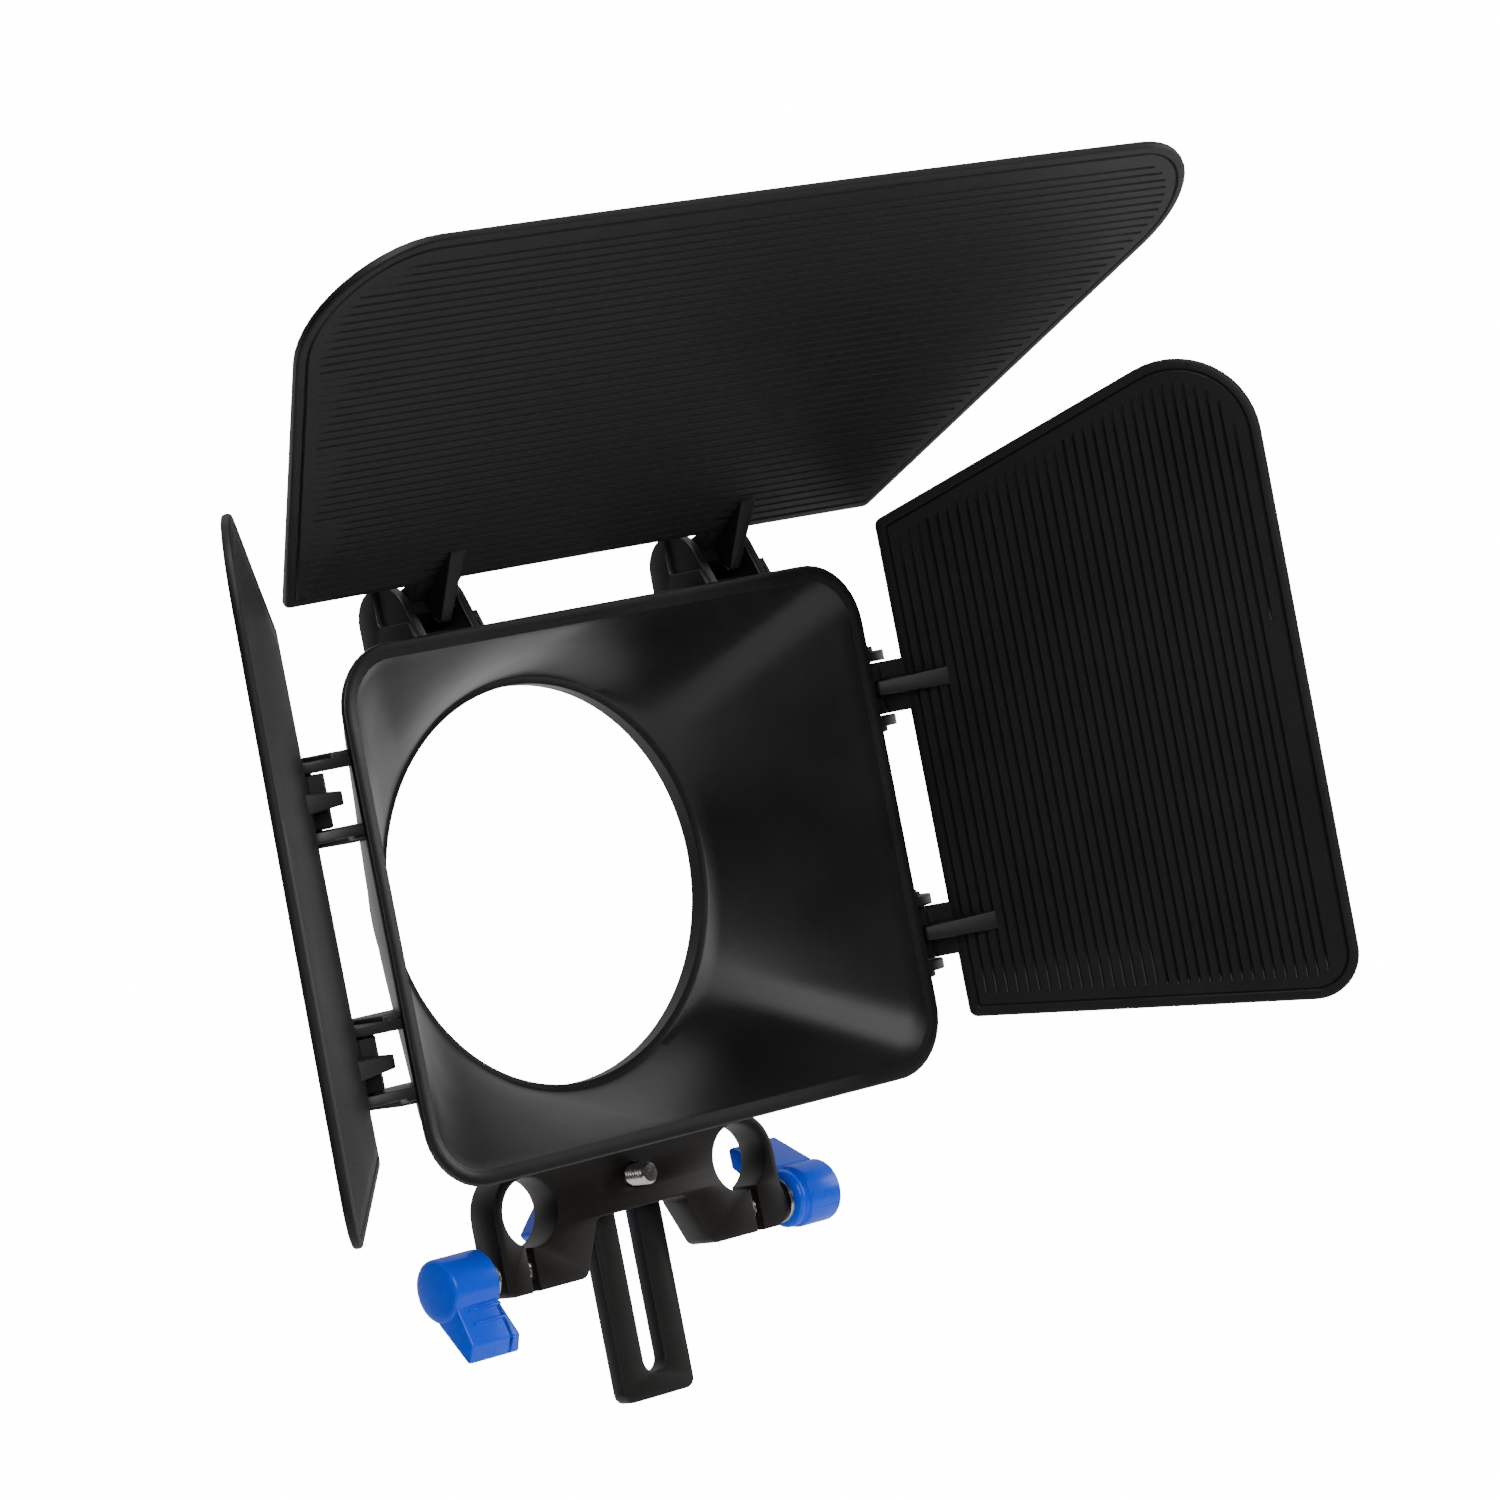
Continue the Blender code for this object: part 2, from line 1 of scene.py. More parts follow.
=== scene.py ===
import bpy
import bmesh
import math
from mathutils import Vector, Matrix
from mathutils.geometry import tessellate_polygon


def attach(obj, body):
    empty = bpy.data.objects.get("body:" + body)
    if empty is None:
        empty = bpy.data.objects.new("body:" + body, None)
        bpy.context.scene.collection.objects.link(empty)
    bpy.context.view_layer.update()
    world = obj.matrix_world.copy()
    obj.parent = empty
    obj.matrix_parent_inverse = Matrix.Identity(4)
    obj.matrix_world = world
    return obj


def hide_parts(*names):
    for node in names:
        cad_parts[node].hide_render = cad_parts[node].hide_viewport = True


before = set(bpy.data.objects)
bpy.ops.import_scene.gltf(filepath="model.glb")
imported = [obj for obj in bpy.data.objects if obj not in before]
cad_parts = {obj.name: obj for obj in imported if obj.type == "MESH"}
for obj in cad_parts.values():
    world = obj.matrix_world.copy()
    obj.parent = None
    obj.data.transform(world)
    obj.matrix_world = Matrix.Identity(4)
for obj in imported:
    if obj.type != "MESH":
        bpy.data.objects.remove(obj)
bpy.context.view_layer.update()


MM = 0.001

# ---------------------------------------------------------------- sizes (mm), the same as the CAD's
RIM_W, RIM_H, RIM_R, RIM_Z, RIM_Y, RIM_T, FACE_W = 145.8, 114.2, 14.3, 67.0, -25.5, 1.3, 3.5
BACK_IN, EAR_FOOT, FUNNEL_END, STEP_R = 1.6, 5.2, 35.2, 45.05
PORT_R, PORT_Z, RING_R, RING_Y = 43.55, 67.1, 46.2, 14.1
PIN_OUT, PIN_Y, PIN_R, PIN_HOLE_R = 4.4, -14.0, 1.5, 1.8
EAR_R, EAR_Y, EAR_H, EAR_IN, EAR_SKIN, EAR_OUT = 7.7, 11.3, 4.0, 6.05, 8.45, 9.55
TOP_HINGE_X, SIDE_HINGE_DZ, ARM_HALF, BARREL_R, HINGE_V, TOP_HINGE_V = 40.65, 27.5, 5.75, 4.0, 11.3, 11.6
TOP_ANGLE, RIGHT_ANGLE, LEFT_ANGLE = 34.2, 36.5, 41.2
W2, H2 = RIM_W / 2, RIM_H / 2
BLOCK_T, LOBE_R, BLOCK_HALF, BLOCK_BOTTOM, SLIT_X, SLIT_W, BORE_R = 8.5, 9.9, 40.0, -16.8, 32.2, 1.9, 7.5
CLAMP_Y, CLAMP_Z, BOSS_X, SCREW_Z, STUD_R, STUD_HOLE_R = 4.2, -11.8, 41.3, 2.2, 2.45, 2.8
HUB_R, KNOB_L, WASHER_R, PLATE_Y0, PLATE_Y1 = 6.95, 12.5, 5.0, 5.5, 9.5


# ---------------------------------------------------------------- materials
def nodes_of(name):
    m = bpy.data.materials.new(name)
    m.use_nodes = True
    nt = m.node_tree
    return m, nt, nt.nodes["Principled BSDF"]


def noise(nt, scale, detail=4.0, rough=0.6, vec=None, distortion=0.0):
    n = nt.nodes.new("ShaderNodeTexNoise")
    n.inputs["Scale"].default_value = scale
    n.inputs["Detail"].default_value = detail
    n.inputs["Roughness"].default_value = rough
    n.inputs["Distortion"].default_value = distortion
    if vec is None:
        tc = nt.nodes.new("ShaderNodeTexCoord")
        vec = tc.outputs["Object"]
    nt.links.new(vec, n.inputs["Vector"])
    return n


def ramp(nt, src, stops):
    r = nt.nodes.new("ShaderNodeValToRGB")
    el = r.color_ramp.elements
    el[0].position, el[0].color = stops[0][0], (*stops[0][1], 1)
    el[1].position, el[1].color = stops[-1][0], (*stops[-1][1], 1)
    for p, c in stops[1:-1]:
        e = el.new(p)
        e.color = (*c, 1)
    nt.links.new(src, r.inputs["Fac"])
    return r


def map_range(nt, src, a, b, lo, hi):
    r = nt.nodes.new("ShaderNodeMapRange")
    r.inputs["From Min"].default_value = a
    r.inputs["From Max"].default_value = b
    r.inputs["To Min"].default_value = lo
    r.inputs["To Max"].default_value = hi
    nt.links.new(src, r.inputs["Value"])
    return r


def bump(nt, bsdf, heights, strength, distance):
    """heights: list of height outputs added together."""
    h = heights[0]
    for x in heights[1:]:
        a = nt.nodes.new("ShaderNodeMath")
        a.operation = "ADD"
        nt.links.new(h, a.inputs[0])
        nt.links.new(x, a.inputs[1])
        h = a.outputs[0]
    b = nt.nodes.new("ShaderNodeBump")
    b.inputs["Strength"].default_value = strength
    b.inputs["Distance"].default_value = distance
    nt.links.new(h, b.inputs["Height"])
    nt.links.new(b.outputs["Normal"], bsdf.inputs["Normal"])


def hood_plastic():
    m, nt, b = nodes_of("hood_moulded_plastic")
    wide = noise(nt, 45, 3, 0.5)
    fine = noise(nt, 2600, 3, 0.6)
    col = ramp(nt, wide.outputs["Fac"], [(0.3, (0.0050, 0.0050, 0.0053)), (0.7, (0.0070, 0.0070, 0.0073))])
    nt.links.new(col.outputs["Color"], b.inputs["Base Color"])
    r = map_range(nt, wide.outputs["Fac"], 0.3, 0.7, 0.36, 0.44)
    nt.links.new(r.outputs["Result"], b.inputs["Roughness"])
    b.inputs["Specular IOR Level"].default_value = 0.5
    bump(nt, b, [fine.outputs["Fac"]], 0.25, 0.00006)
    return m


def flag_plastic():
    m, nt, b = nodes_of("flag_moulded_plastic")
    wide = noise(nt, 30, 3, 0.5)
    fine = noise(nt, 2200, 4, 0.65)
    col = ramp(nt, wide.outputs["Fac"], [(0.3, (0.0034, 0.0034, 0.0038)), (0.7, (0.0048, 0.0048, 0.0053))])
    nt.links.new(col.outputs["Color"], b.inputs["Base Color"])
    r = map_range(nt, wide.outputs["Fac"], 0.3, 0.7, 0.46, 0.54)
    nt.links.new(r.outputs["Result"], b.inputs["Roughness"])
    b.inputs["Specular IOR Level"].default_value = 0.32
    bump(nt, b, [fine.outputs["Fac"]], 0.3, 0.00006)
    return m


def anodised(name, tint):
    m, nt, b = nodes_of(name)
    wide = noise(nt, 60, 3, 0.5)
    fine = noise(nt, 3800, 5, 0.7)
    c0 = tuple(x * 0.85 for x in tint)
    c1 = tuple(x * 1.2 for x in tint)
    col = ramp(nt, wide.outputs["Fac"], [(0.3, c0), (0.7, c1)])
    nt.links.new(col.outputs["Color"], b.inputs["Base Color"])
    r = map_range(nt, fine.outputs["Fac"], 0.3, 0.7, 0.33, 0.46)
    nt.links.new(r.outputs["Result"], b.inputs["Roughness"])
    b.inputs["Metallic"].default_value = 0.3
    bump(nt, b, [fine.outputs["Fac"]], 0.2, 0.00004)
    return m


def knob_plastic():
    m, nt, b = nodes_of("blue_gloss_plastic")
    wide = noise(nt, 90, 3, 0.5)
    fine = noise(nt, 700, 3, 0.5)
    col = ramp(nt, wide.outputs["Fac"], [(0.3, (0.0, 0.078, 0.94)), (0.7, (0.0, 0.092, 1.0))])
    nt.links.new(col.outputs["Color"], b.inputs["Base Color"])
    r = map_range(nt, wide.outputs["Fac"], 0.3, 0.7, 0.24, 0.32)
    nt.links.new(r.outputs["Result"], b.inputs["Roughness"])
    b.inputs["Coat Weight"].default_value = 0.06
    b.inputs["Specular IOR Level"].default_value = 0.35
    b.inputs["Coat Roughness"].default_value = 0.06
    bump(nt, b, [fine.outputs["Fac"]], 0.08, 0.00015)
    return m


def steel(name, color=(0.62, 0.60, 0.58), rough=(0.18, 0.30)):
    m, nt, b = nodes_of(name)
    wide = noise(nt, 400, 3, 0.5)
    fine = noise(nt, 5000, 2, 0.5)
    col = ramp(nt, wide.outputs["Fac"], [(0.3, tuple(x * 0.88 for x in color)), (0.7, color)])
    nt.links.new(col.outputs["Color"], b.inputs["Base Color"])
    r = map_range(nt, wide.outputs["Fac"], 0.3, 0.7, rough[0], rough[1])
    nt.links.new(r.outputs["Result"], b.inputs["Roughness"])
    b.inputs["Metallic"].default_value = 1.0
    bump(nt, b, [fine.outputs["Fac"]], 0.1, 0.00003)
    return m


M_HOOD, M_FLAG = hood_plastic(), flag_plastic()
M_BLOCK, M_PLATE = anodised("black_anodised_block", (0.016, 0.0135, 0.0115)), anodised("black_anodised_plate", (0.014, 0.013, 0.012))
M_KNOB, M_STEEL, M_PIN = knob_plastic(), steel("bright_steel"), steel("pin_steel", (0.45, 0.45, 0.46))


# ---------------------------------------------------------------- mesh helpers (all in row millimetres)
def finish(name, bm, mat, body, replaces, sharp=32.0, origin=None):
    bmesh.ops.remove_doubles(bm, verts=bm.verts, dist=0.0005)
    bmesh.ops.recalc_face_normals(bm, faces=bm.faces)
    for v in bm.verts:
        v.co *= MM
    me = bpy.data.meshes.new(name)
    bm.to_mesh(me)
    bm.free()
    for p in me.polygons:
        p.use_smooth = True
    me.set_sharp_from_angle(angle=math.radians(sharp))
    me.materials.append(mat)
    ob = bpy.data.objects.new(name, me)
    bpy.context.scene.collection.objects.link(ob)
    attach(ob, body)
    if replaces:
        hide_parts(replaces)
    return ob


def arc(cx, cy, r, a0, a1, n):
    return [(cx + r * math.cos(math.radians(a0 + (a1 - a0) * i / n)),
             cy + r * math.sin(math.radians(a0 + (a1 - a0) * i / n))) for i in range(n + 1)]


def circle(cx, cy, r, n):
    return [(cx + r * math.cos(2 * math.pi * i / n), cy + r * math.sin(2 * math.pi * i / n)) for i in range(n)]


def rounded(points, radii, n=6):
    out = []
    m = len(points)
    for i in range(m):
        p = Vector(points[i])
        a = (Vector(points[i - 1]) - p).normalized()
        b = (Vector(points[(i + 1) % m]) - p).normalized()
        r = radii[i]
        if r <= 0:
            out.append((p.x, p.y))
            continue
        half = math.acos(max(-1.0, min(1.0, a.dot(b)))) / 2
        t = r / math.tan(half)
        c = p + (a + b).normalized() * (r / math.sin(half))
        s, e = p + a * t - c, p + b * t - c
        a0, a1 = math.atan2(s.y, s.x), math.atan2(e.y, e.x)
        d = (a1 - a0 + math.pi) % (2 * math.pi) - math.pi
        out += [(c.x + r * math.cos(a0 + d * k / n), c.y + r * math.sin(a0 + d * k / n)) for k in range(n + 1)]
    return out


def area(lp):
    return 0.5 * sum(lp[i - 1][0] * lp[i][1] - lp[i][0] * lp[i - 1][1] for i in range(len(lp)))


def inset(lp, d, hole=False):
    """Move a polygon into its material by d (mitred)."""
    if abs(d) < 1e-9:
        return list(lp)
    s = 1.0 if area(lp) > 0 else -1.0
    if hole:
        s = -s
    out = []
    n = len(lp)
    for i in range(n):
        p0, p, p1 = Vector(lp[i - 1]), Vector(lp[i]), Vector(lp[(i + 1) % n])
        e0, e1 = (p - p0).normalized(), (p1 - p).normalized()
        n0, n1 = Vector((-e0.y, e0.x)) * s, Vector((-e1.y, e1.x)) * s
        k = max(0.25, 1.0 + n0.dot(n1))
        out.append(tuple(p + (n0 + n1) * (d / k)))
    return out


def fillet(a, b, r, n=3, r2=None):
    """Section of a slab from a to b with rounded edges: (inset, height) pairs."""
    r2 = r if r2 is None else r2
    lo = [(r * (1 - math.sin(math.pi / 2 * i / n)), a + r * (1 - math.cos(math.pi / 2 * i / n))) for i in range(n + 1)] if r else [(0, a)]
    hi = [(r2 * (1 - math.sin(math.pi / 2 * i / n)), b - r2 * (1 - math.cos(math.pi / 2 * i / n))) for i in range(n, -1, -1)] if r2 else [(0, b)]
    return lo + hi


def cap(bm, rings, pts2):
    """Flat cap over loops of made vertices."""
    tris = tessellate_polygon([[Vector((p[0], p[1], 0)) for p in lp] for lp in pts2])
    flat = [v for r in rings for v in r]
    for t in tris:
        if len(set(t)) == 3:
            try:
                bm.faces.new([flat[i] for i in t])
            except ValueError:
                pass


def slab(bm, loops, place, section, cap0=True, cap1=True):
    """Solid from loops (outline, holes...) swept through section: (inset, height) pairs."""
    made = []
    for d, t in section:
        lps = [inset(lp, d, i > 0) for i, lp in enumerate(loops)]
        made.append((lps, [[bm.verts.new(place(p[0], p[1], t)) for p in lp] for lp in lps]))
    for (l0, r0), (l1, r1) in zip(made, made[1:]):
        for a, b in zip(r0, r1):
            n = len(a)
            for i in range(n):
                j = (i + 1) % n
                bm.faces.new((a[i], a[j], b[j], b[i]))
    if cap0:
        cap(bm, made[0][1], made[0][0])
    if cap1:
        cap(bm, made[-1][1], made[-1][0])
    return made


def xz(u, v, t):
    return Vector((u, t, v))


def yz(u, v, t):
    return Vector((t, u, v))


def xy(u, v, t):
    return Vector((u, v, t))


def turned(bm, pts, axis, up, origin, n=64):
    w = axis.cross(up)
    rings = [[bm.verts.new(origin + axis * t + (up * math.cos(2 * math.pi * i / n) + w * math.sin(2 * math.pi * i / n)) * r)
              for i in range(n)] for r, t in pts]
    for r0, r1 in zip(rings, rings[1:]):
        for i in range(n):
            j = (i + 1) % n
            bm.faces.new((r0[i], r0[j], r1[j], r1[i]))
    return rings


def closed_turned(bm, pts, axis, up, origin, n=64):
    rings = turned(bm, pts, axis, up, origin, n)
    bm.faces.new(rings[0])
    bm.faces.new(rings[-1])


def ring_turned(bm, pts, axis, up, origin, n=64):
    """Turned solid with a hole: pts is a closed loop of (radius, distance)."""
    rings = turned(bm, pts + [pts[0]], axis, up, origin, n)


def cut(ob, bm_cutter):
    """Boolean difference applied at once; the cutter is dropped."""
    bmesh.ops.recalc_face_normals(bm_cutter, faces=bm_cutter.faces)
    for v in bm_cutter.verts:
        v.co *= MM
    me = bpy.data.meshes.new("cutter")
    bm_cutter.to_mesh(me)
    bm_cutter.free()
    c = bpy.data.objects.new("cutter", me)
    bpy.context.scene.collection.objects.link(c)
    m = ob.modifiers.new("cut", "BOOLEAN")
    m.operation = "DIFFERENCE"
    m.solver = "EXACT"
    m.object = c
    bpy.context.view_layer.update()
    dg = bpy.context.evaluated_depsgraph_get()
    new = bpy.data.meshes.new_from_object(ob.evaluated_get(dg))
    ob.modifiers.clear()
    old = ob.data
    ob.data = new
    bpy.data.meshes.remove(old)
    bpy.data.objects.remove(c, do_unlink=True)
    bpy.data.meshes.remove(me)


# ---------------------------------------------------------------- hood
QUAD = [90.0 * i / 60 for i in range(60)]
ANGLES = [q * 90 + a for q in range(4) for a in QUAD]


def ray_rect(a, b, r, deg):
    c, s = math.cos(math.radians(deg)), math.sin(math.radians(deg))
    ac, as_ = abs(c), abs(s)
    t = min(a / ac if ac > 1e-9 else 1e9, b / as_ if as_ > 1e-9 else 1e9)
    x, y = t * ac, t * as_
    if x > a - r and y > b - r:
        cx, cy = a - r, b - r
        p = ac * cx + as_ * cy
        q = cx * cx + cy * cy - r * r
        t = p + math.sqrt(max(0.0, p * p - q))
        x, y = t * ac, t * as_
    return (math.copysign(x, c), math.copysign(y, s))


def loop_rect(d, y):
    """The rim's outline moved in by d, at depth y."""
    return [Vector((p[0], y, RIM_Z + p[1])) for p in (ray_rect(W2 - d, H2 - d, RIM_R - d, a) for a in ANGLES)]


def loop_circle(r, y):
    return [Vector((r * math.cos(math.radians(a)), y, PORT_Z + r * math.sin(math.radians(a)))) for a in ANGLES]


def mix(l0, l1, s, bow=0.0):
    return [p.lerp(q, s) for p, q in zip(l0, l1)]


def build_hood():
    bm = bmesh.new()
    y0 = RIM_Y
    in_front = loop_rect(FACE_W, y0 + 0.5)
    in_back = loop_circle(STEP_R, y0 + FUNNEL_END)
    out_front = loop_rect(BACK_IN, y0 + RIM_T)
    out_back = loop_circle(RING_R, y0 + FUNNEL_END)

    def shell(k):
        """The funnel's outside, convex from the rim's outline (0) to the ring's (1)."""
        out = mix(out_front, out_back, k - 0.52 * k * (1.0 - k))
        for p in out:
            p.y = y0 + RIM_T + (FUNNEL_END - RIM_T) * k
        return out

    loops = []
    # front face with a small lip at its inner edge and rounded outer edge
    f = 0.45
    for i in range(4):
        a = math.pi / 2 * i / 3
        loops.append(loop_rect(f * (1 - math.cos(a)), y0 + f * (1 - math.sin(a))))
    for d, dy in ((FACE_W - 1.15, 0.0), (FACE_W - 0.95, 0.12), (FACE_W - 0.45, 0.12), (FACE_W - 0.12, 0.25)):
        loops.append(loop_rect(d, y0 + dy))
    steps = 14
    loops.append(in_front)
    for i in range(1, steps):
        loops.append(mix(in_front, in_back, i / steps))
    loops.append(mix(in_front, in_back, 0.994))
    loops.append(loop_circle(STEP_R - 0.25, y0 + FUNNEL_END))
    loops.append(loop_circle(PORT_R + 0.15, y0 + FUNNEL_END + 0.3))
    loops.append(loop_circle(PORT_R, y0 + FUNNEL_END + 0.5))
    loops.append(loop_circle(PORT_R, RING_Y - 0.4))
    loops.append(loop_circle(PORT_R + 0.4, RING_Y))
    loops.append(loop_circle(RING_R - 0.5, RING_Y))
    loops.append(loop_circle(RING_R - 0.13, RING_Y - 0.13))
    loops.append(loop_circle(RING_R, RING_Y - 0.5))
    loops.append(out_back)
    for i in range(steps - 1, 0, -1):
        loops.append(shell(i / steps))
    loops.append(shell(0.012))
    loops.append(loop_rect(BACK_IN - 0.25, y0 + RIM_T))
    loops.append(loop_rect(0.3, y0 + RIM_T))
    loops.append(loop_rect(0.09, y0 + RIM_T - 0.09))
    loops.append(loop_rect(0.0, y0 + RIM_T - 0.3))
    rows = [[bm.verts.new(p) for p in lp] for lp in loops]
    m = len(rows)
    for i in range(m):
        r0, r1 = rows[i], rows[(i + 1) % m]
        n = len(r0)
        for j in range(n):
            k = (j + 1) % n
            bm.faces.new((r0[j], r0[k], r1[k], r1[j]))

    def outside(depth, c, along, out_d, t):
        loop = shell((depth - RIM_T) / (FUNNEL_END - RIM_T))
        edge, at, best = c.dot(out_d), c.dot(along) + t, -1e9
        for p, q in zip(loop, loop[1:] + loop[:1]):
            u, v = p.dot(along), q.dot(along)
            if (u - at) * (v - at) <= 0 and abs(u - v) > 1e-9:
                best = max(best, p.lerp(q, (at - u) / (v - u)).dot(out_d) - edge)
        return best

    # hinge ears: a bored inner part, a skin over the bore, and a thicker part behind and below a front pocket
    cy, ch = EAR_Y, EAR_H
    foot = Vector((1.0, 0.0))
    dvec = Vector((cy, ch)) - foot
    base = math.atan2(dvec.y, dvec.x)
    off = math.asin(EAR_R / dvec.length)
    tl = math.sqrt(dvec.length ** 2 - EAR_R ** 2)
    tp = foot + Vector((math.cos(base + off), math.sin(base + off))) * tl
    a0 = math.degrees(math.atan2(tp.y - ch, tp.x - cy))
    rear = cy + EAR_R
    hinges = [(Vector((x, 0, RIM_Z + H2)), Vector((1, 0, 0)), Vector((0, 0, 1))) for x in (-TOP_HINGE_X, TOP_HINGE_X)]
    for sx in (1, -1):
        for dz in (SIDE_HINGE_DZ, -SIDE_HINGE_DZ):
            hinges.append((Vector((sx * W2, 0, RIM_Z + dz)), Vector((0, 0, 1)), Vector((sx, 0, 0))))
    for b, along, out in hinges:
        for s in (-1, 1):
            mid = (EAR_FOOT + rear) / 2
            tail = []
            for e in (rear, mid, EAR_FOOT):
                tail.append((e, min(outside(e, b, along, out, s * EAR_IN), outside(e, b, along, out, s * EAR_OUT)) - 0.35))
            tail.append((2.2, tail[-1][1]))
            full = [(foot.x, -2.0), (foot.x, 0.0)] + arc(cy, ch, EAR_R, a0, 0.0, 28) + tail
            sx_, sh = 12.5, 3.4
            low = ([(foot.x, -2.0), (foot.x, 0.0), (foot.x + (tp.x - foot.x) * sh / tp.y, sh)]
                   + arc(sx_ - 1.0, sh + 1.0, 1.0, -90, 0, 5)
                   + arc(cy, ch, EAR_R, math.degrees(math.acos((sx_ - cy) / EAR_R)), 0.0, 20) + tail)
            hole = circle(PIN_Y - RIM_Y, PIN_OUT, PIN_HOLE_R, 24)

            def place(u, v, t, b=b, along=along, out=out, s=s):
                return Vector((b.x, u + RIM_Y, b.z)) + out * v + along * (s * t)
            slab(bm, [full, hole], place, fillet(EAR_IN, 8.0, 0.3, 3, 0.0))
            slab(bm, [full], place, fillet(7.95, EAR_SKIN, 0.0, 3, 0.3))
            slab(bm, [low], place, fillet(EAR_SKIN - 0.3, EAR_OUT, 0.0, 3, 0.35))
    # lug under the ring
    slab(bm, [rounded([(-9.8, 11.8), (9.8, 11.8), (9.8, 22.5), (-9.8, 22.5)], [1.2, 1.2, 0, 0], 5),
              circle(-6.0, 14.6, 1.8, 24), circle(6.0, 14.6, 1.8, 24)], xz, fillet(9.8, 13.8, 0.35))
    ob = finish("hood_moulding", bm, M_HOOD, "carriage", "hood", 33)
    return ob


build_hood()


# ---------------------------------------------------------------- flags
def offset_corners(pts, d):
    n = len(pts)
    s = 1.0 if area(pts) > 0 else -1.0
    out = []
    for i in range(n):
        p0, p, p1 = Vector(pts[i - 1]), Vector(pts[i]), Vector(pts[(i + 1) % n])
        e0, e1 = (p - p0).normalized(), (p1 - p).normalized()
        n0, n1 = Vector((-e0.y, e0.x)) * s, Vector((-e1.y, e1.x)) * s
        out.append(tuple(p + (n0 + n1) * (d / (1.0 + n0.dot(n1)))))
    return out


def cross_line(poly, u):
    """Where the line at distance u crosses the polygon: lowest and highest v."""
    hit = []
    n = len(poly)
    for i in range(n):
        a, b = poly[i - 1], poly[i]
        if (a[0] - u) * (b[0] - u) <= 0 and a[0] != b[0]:
            t = (u - a[0]) / (b[0] - a[0])
            hit.append(a[1] + (b[1] - a[1]) * t)
    return (min(hit), max(hit)) if len(hit) >= 2 else None


def build_flag(name, node, body, centre, along, out, angle, edge, corners, radii, hinges, bend):
    a = math.radians(angle)
    d = Vector((0, -1, 0)) * math.cos(a) + out * math.sin(a)
    n = Vector((0, -1, 0)) * math.sin(a) - out * math.cos(a)

    def face(u, v, t):
        return centre + d * (u + edge) + along * v + n * t

    def outline(dd, seg=14):
        return rounded(offset_corners(corners, dd), [max(r - dd, 0.35) for r in radii], seg)

    bm = bmesh.new()
    # outer skin, open on the ribbed side
    secs = []
    r0 = 0.7
    for i in range(4):
        th = math.pi / 2 * i / 3
        secs.append((r0 * (1 - math.sin(th)), -1.0 + r0 * (1 - math.cos(th))))
    for i in range(3, -1, -1):
        th = math.pi / 2 * i / 3
        secs.append((r0 * (1 - math.sin(th)), 1.0 - r0 * (1 - math.cos(th))))
    secs += [(2.0, 1.0), (2.4, 0.62), (2.8, 1.0)]
    rows, polys = [], []
    for dd, t in secs:
        lp = outline(dd)
        polys.append(lp)
        rows.append([bm.verts.new(face(p[0], p[1], t)) for p in lp])
    for r_0, r_1 in zip(rows, rows[1:]):
        m = len(r_0)
        for i in range(m):
            j = (i + 1) % m
            bm.faces.new((r_0[i], r_0[j], r_1[j], r_1[i]))
    cap(bm, [rows[0]], [polys[0]])
    # grooves parallel to the hinge edge
    limit = outline(5.0)
    hw = 0.36
    holes, rings = [], []
    u = 2.4 + 2.36
    end_u = max(p[0] for p in limit)
    while u < end_u - 0.4:
        lo_u = min(p[0] for p in limit) + 0.05
        c0, c1 = cross_line(limit, max(u - hw, lo_u)), cross_line(limit, max(u + hw, lo_u))
        if c0 and c1:
            v0, v1 = max(c0[0], c1[0]), min(c0[1], c1[1])
            if v1 - v0 > 4:
                lp = arc(u, v1 - hw, hw, 0, 180, 6) + arc(u, v0 + hw, hw, 180, 360, 6)
                holes.append(lp)
                top = [bm.verts.new(face(p[0], p[1], 1.0)) for p in lp]
                hi = bm.verts.new(face(u, v1 - hw, 0.60))
                lo = bm.verts.new(face(u, v0 + hw, 0.60))
                for i in range(6):
                    bm.faces.new((top[i], top[i + 1], hi))
                    bm.faces.new((top[7 + i], top[8 + i], lo))
                bm.faces.new((top[6], top[7], lo, hi))
                bm.faces.new((top[13], top[0], hi, lo))
                rings.append(top)
        u += 2.36
    cap(bm, [rows[-1]] + rings, [polys[-1]] + holes)
    # the moulding isn't perfectly flat: cut it into strips across its width and bend them
    vs = [p[1] for p in corners]
    k = 1
    while min(vs) + k * 11.0 < max(vs) - 2.0:
        bmesh.ops.bisect_plane(bm, geom=bm.verts[:] + bm.edges[:] + bm.faces[:], dist=0.0004,
                               plane_co=centre + along * (min(vs) + k * 11.0), plane_no=along)
        k += 1
    for v in bm.verts:
        r = v.co - centre
        v.co += n * bend(r.dot(d) - edge, r.dot(along))
    # hinge arms: barrel, pad and tab, with a gusset blade
    arm = ([(0.0, BARREL_R)] + arc(0, 0, BARREL_R, 90, 270, 30)[1:] + [(5.0, -3.2), (edge + 0.8, -0.95), (edge + 0.8, 0.95),
           (6.5, 1.0), (6.5, 4.0)])
    blade = rounded([(21.5, 0.2), (21.5, 1.0), (6.4, 7.6), (5.1, 3.2), (6.2, 0.2)], [0, 0.5, 0.5, 0, 0], 4)
    for s in hinges:
        def side(uu, vv, t, s=s):
            return centre + d * uu + n * vv + along * (s + t)

        def taper(uu, vv, t, s=s):
            return centre + d * uu + n * vv + along * (s + t * (1.0 - 0.29 * max(0.0, vv - 1.0) / 6.0))
        slab(bm, [arm, circle(0, 0, PIN_HOLE_R, 32)], side, fillet(-ARM_HALF, ARM_HALF, 0.4))
        slab(bm, [blade], taper, fillet(-2.1, 2.1, 0.35))
    return finish(name, bm, M_FLAG, body, node, 28)


def top_bend(u, v):
    return -0.38 + 0.68 * (v / 120.0) ** 2


def no_bend(u, v):
    return 0.0


